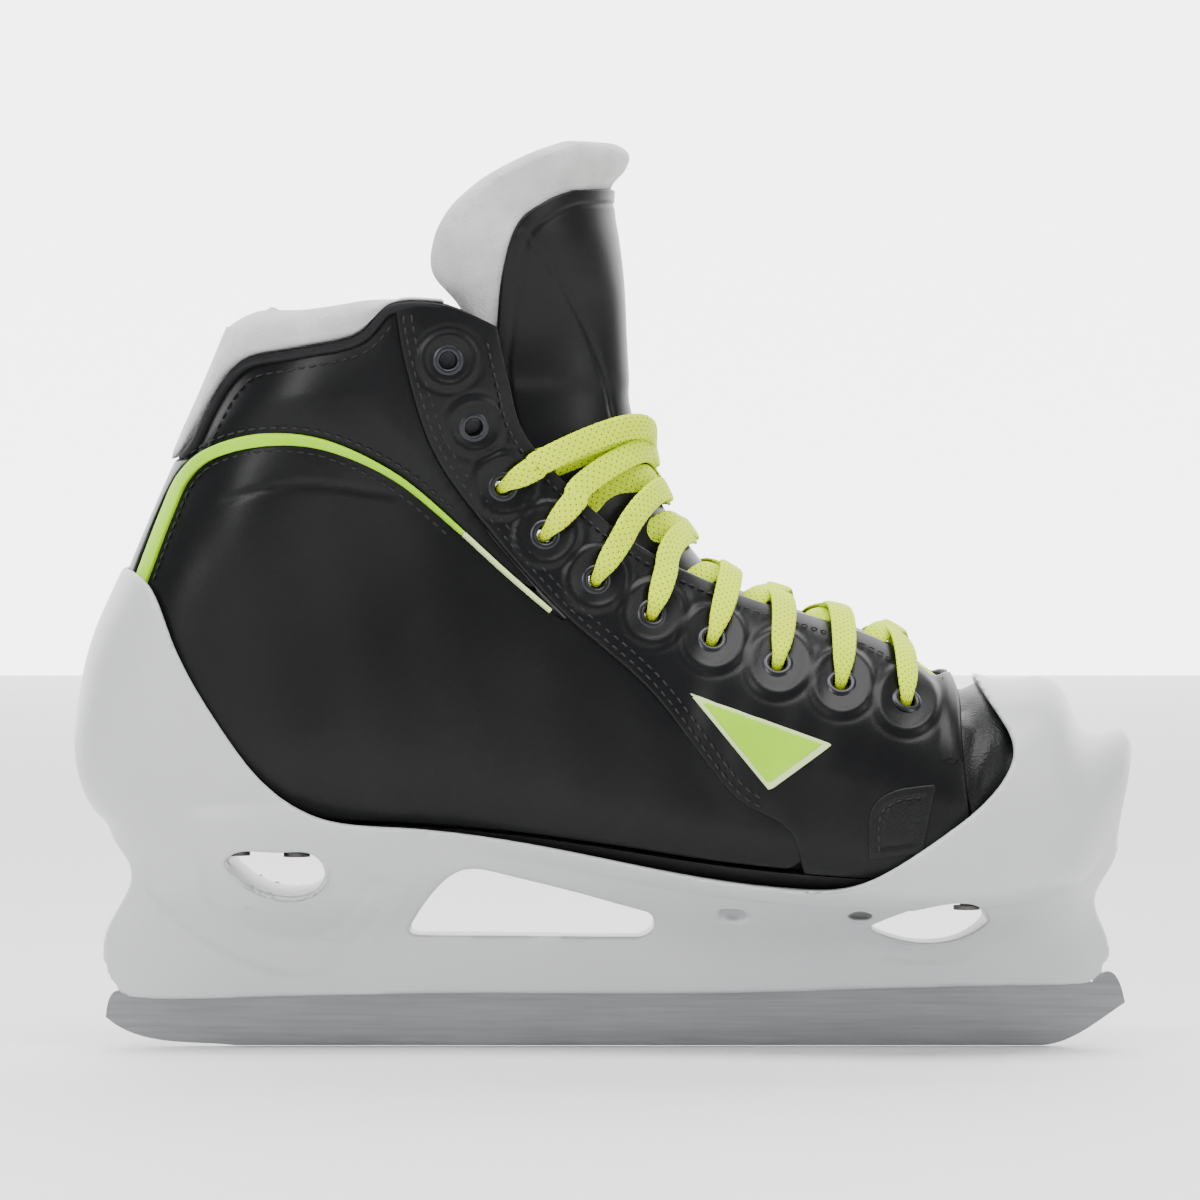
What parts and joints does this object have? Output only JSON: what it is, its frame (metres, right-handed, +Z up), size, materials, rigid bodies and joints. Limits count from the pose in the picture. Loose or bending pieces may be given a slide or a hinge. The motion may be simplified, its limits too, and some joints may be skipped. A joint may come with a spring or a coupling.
{
  "type": "ice hockey goalie skate",
  "caption": "Goalie's ice hockey skate: black laced boot with felt-lined collar and tall folding tongue, in a white moulded cowling with side windows on a flat steel runner.",
  "frame": {"origin": "middle of the runner's ground base, where it stands on the ice", "axes": "+X to the toe, +Y to the inner side of the foot, +Z up"},
  "size_m": [0.3199, 0.1051, 0.2726],
  "materials": {
    "runner_steel": "ground steel with fine lengthwise grinding lines",
    "cowling_plastic": "white moulded nylon, satin, slightly scuffed",
    "boot_leather": "black smooth coated leather with a soft sheen",
    "toe_leather": "black soft grained leather with creases",
    "trim_green": "lime green coated leather",
    "white_felt": "thick off-white wool felt",
    "lining_fabric": "dark brushed lining over foam",
    "lace_yellow": "neon yellow flat waxed lace with dark flecks",
    "sole_board": "black composite board",
    "stiffener_board": "thermoformed fibre board",
    "footbed_foam": "grey foam footbed with a knitted cover",
    "eyelet_metal": "black lacquered brass",
    "fastener_steel": "zinc plated steel"
  },
  "bodies": {
    "boot": {"ankle_pad_inner": "footbed_foam", "ankle_pad_outer": "footbed_foam", "backstay": "boot_leather", "collar_binding_inner": "boot_leather", "collar_binding_outer": "boot_leather", "collar_felt": "white_felt", "collar_inner": "boot_leather", "collar_outer": "boot_leather", "cowling": "cowling_plastic", "emblem_inner": "trim_green", "emblem_outer": "trim_green", "eyelets_inner": "eyelet_metal", "eyelets_outer": "eyelet_metal", "facing_inner": "boot_leather", "facing_outer": "boot_leather", "heel_counter": "stiffener_board", "insole": "footbed_foam", "lace": "lace_yellow", "lining_inner": "lining_fabric", "lining_outer": "lining_fabric", "outsole": "sole_board", "quarter_inner": "boot_leather", "quarter_outer": "boot_leather", "runner": "runner_steel", "runner_bolt_front": "fastener_steel", "runner_bolt_rear": "fastener_steel", "runner_nut_front": "fastener_steel", "runner_nut_rear": "fastener_steel", "runner_washer_front": "fastener_steel", "runner_washer_rear": "fastener_steel", "sole_rivets_front": "fastener_steel", "sole_rivets_rear": "fastener_steel", "stripe_inner": "trim_green", "stripe_outer": "trim_green", "toe_box": "stiffener_board", "toe_patch_inner": "boot_leather", "toe_patch_outer": "boot_leather", "tongue_face_lower": "boot_leather", "tongue_felt_lower": "white_felt", "vamp": "toe_leather"},
    "tongue": {"tongue_face_upper": "boot_leather", "tongue_felt_upper": "white_felt"}
  },
  "joints": [
    {"name": "tongue_flex", "type": "hinge", "parent": "boot", "child": "tongue", "pos_m": [0.0095, 0, 0.183], "axis": [0, 1, 0], "range_deg": [0, 35], "stiffness_Nm_per_rad": 0.6}
  ]
}
